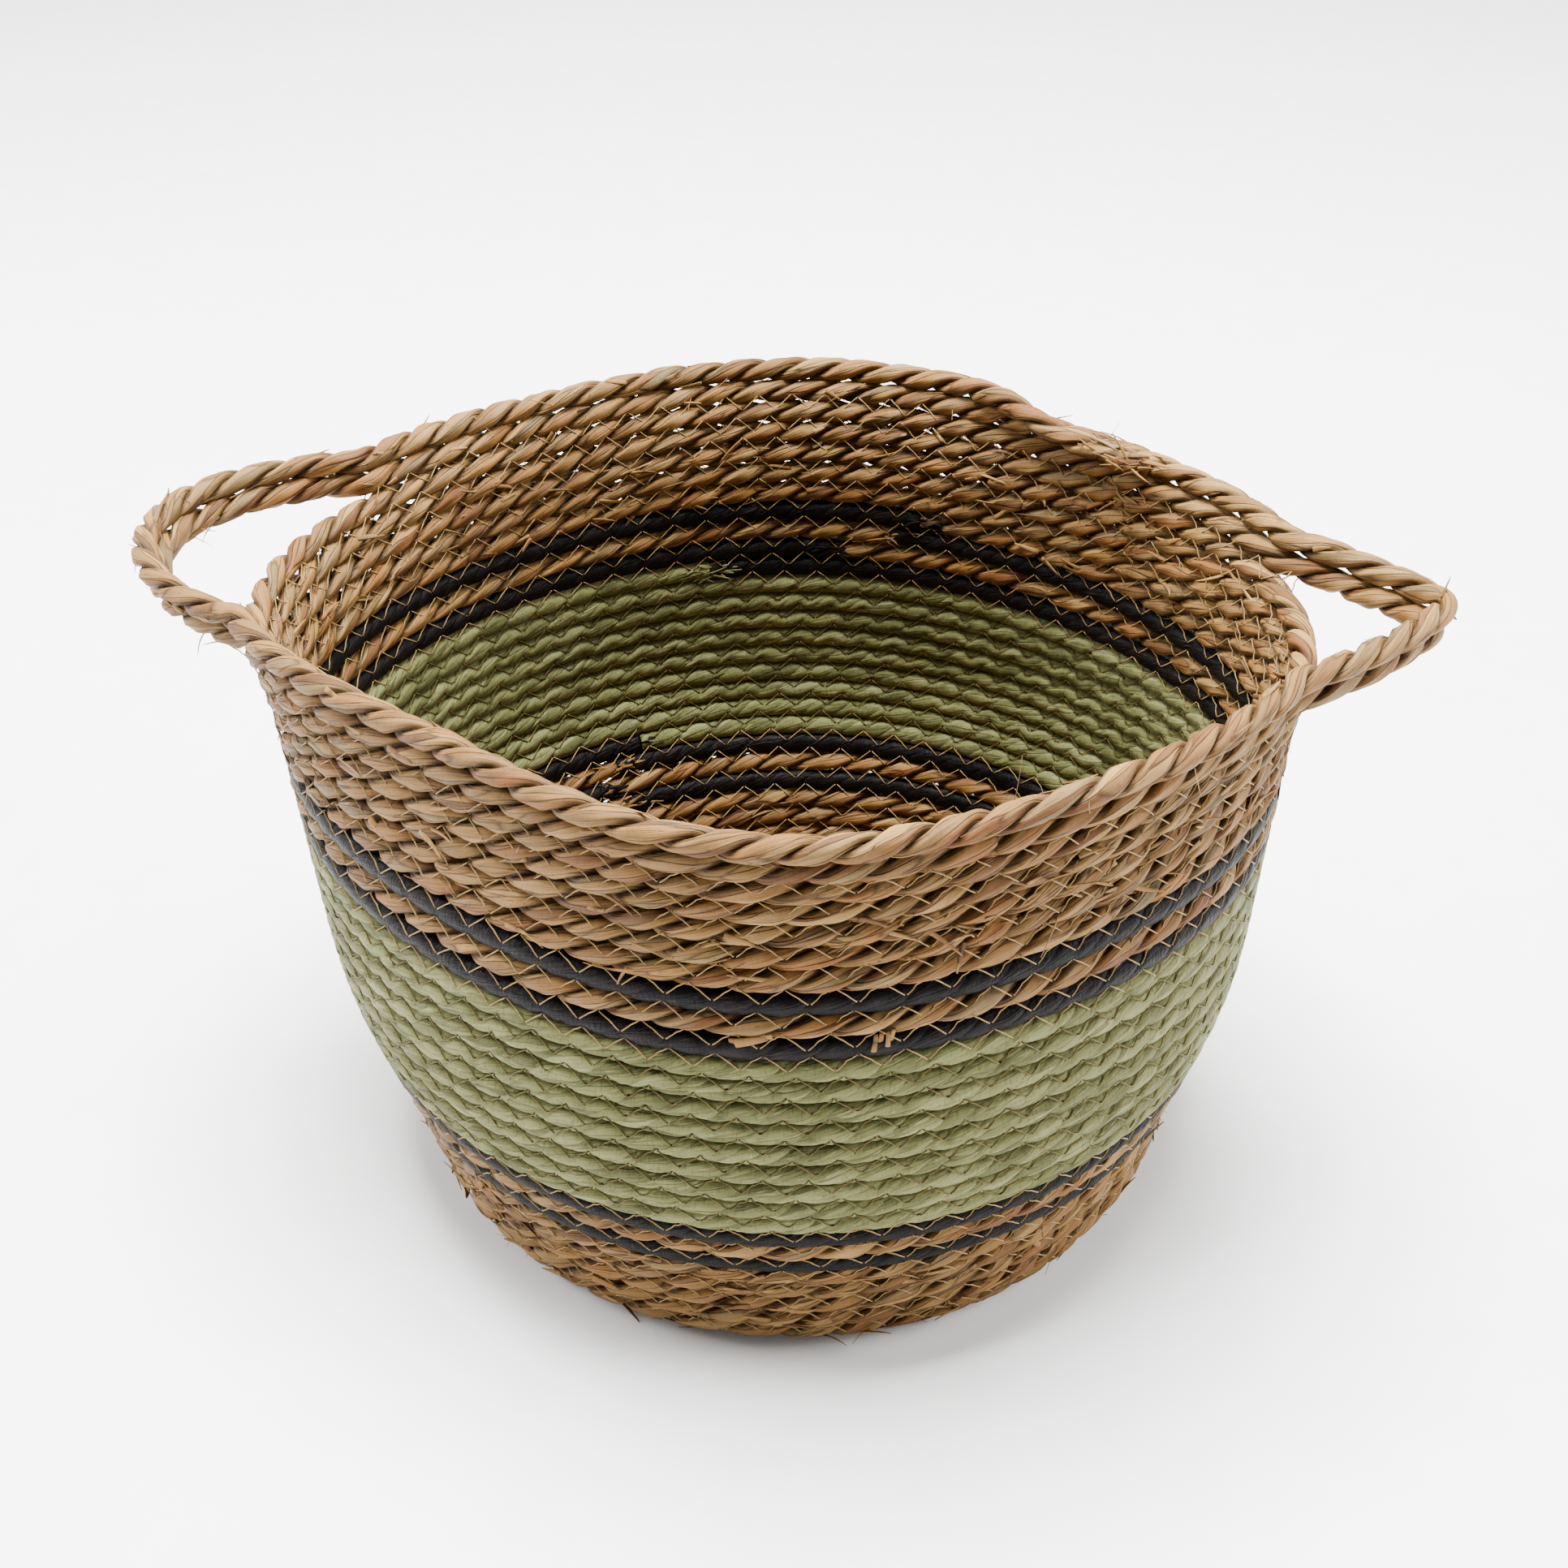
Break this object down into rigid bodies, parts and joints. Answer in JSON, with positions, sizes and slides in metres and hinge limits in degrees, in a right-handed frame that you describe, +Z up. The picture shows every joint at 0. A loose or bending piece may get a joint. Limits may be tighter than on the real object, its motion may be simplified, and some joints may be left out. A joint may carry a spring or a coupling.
{
  "type": "coiled seagrass storage basket",
  "caption": "Round coiled and stitched seagrass basket with a flared wall, green and black colour bands and a loop handle on each side.",
  "frame": {"origin": "centre of the base coil, on the plane the basket rests on", "axes": "+Z up, +X towards the right handle, +Y towards the back, where the coloured lengths of rope meet"},
  "size_m": [0.4319, 0.3242, 0.2221],
  "materials": {
    "natural_rope": "undyed twisted seagrass, dry and slightly satin, tan to brown from leaf to leaf",
    "black_rope": "twisted black paper cord, matt with a faint sheen",
    "green_rope": "twisted sage green paper cord, matt",
    "sewing_thread": "thin golden brown sewing thread"
  },
  "bodies": {
    "root": {"base_rope": "natural_rope", "foot_black_rope_lower": "black_rope", "foot_band_rope": "natural_rope", "foot_black_rope_upper": "black_rope", "green_rope": "green_rope", "top_black_rope_lower": "black_rope", "top_band_rope": "natural_rope", "top_black_rope_upper": "black_rope", "upper_natural_rope": "natural_rope", "handle_rope": "natural_rope", "rim_rope": "natural_rope", "base_thread_under": "sewing_thread", "base_thread_inside": "sewing_thread", "lower_thread_outside": "sewing_thread", "lower_thread_inside": "sewing_thread", "upper_thread_outside": "sewing_thread", "upper_thread_inside": "sewing_thread"}
  },
  "joints": []
}
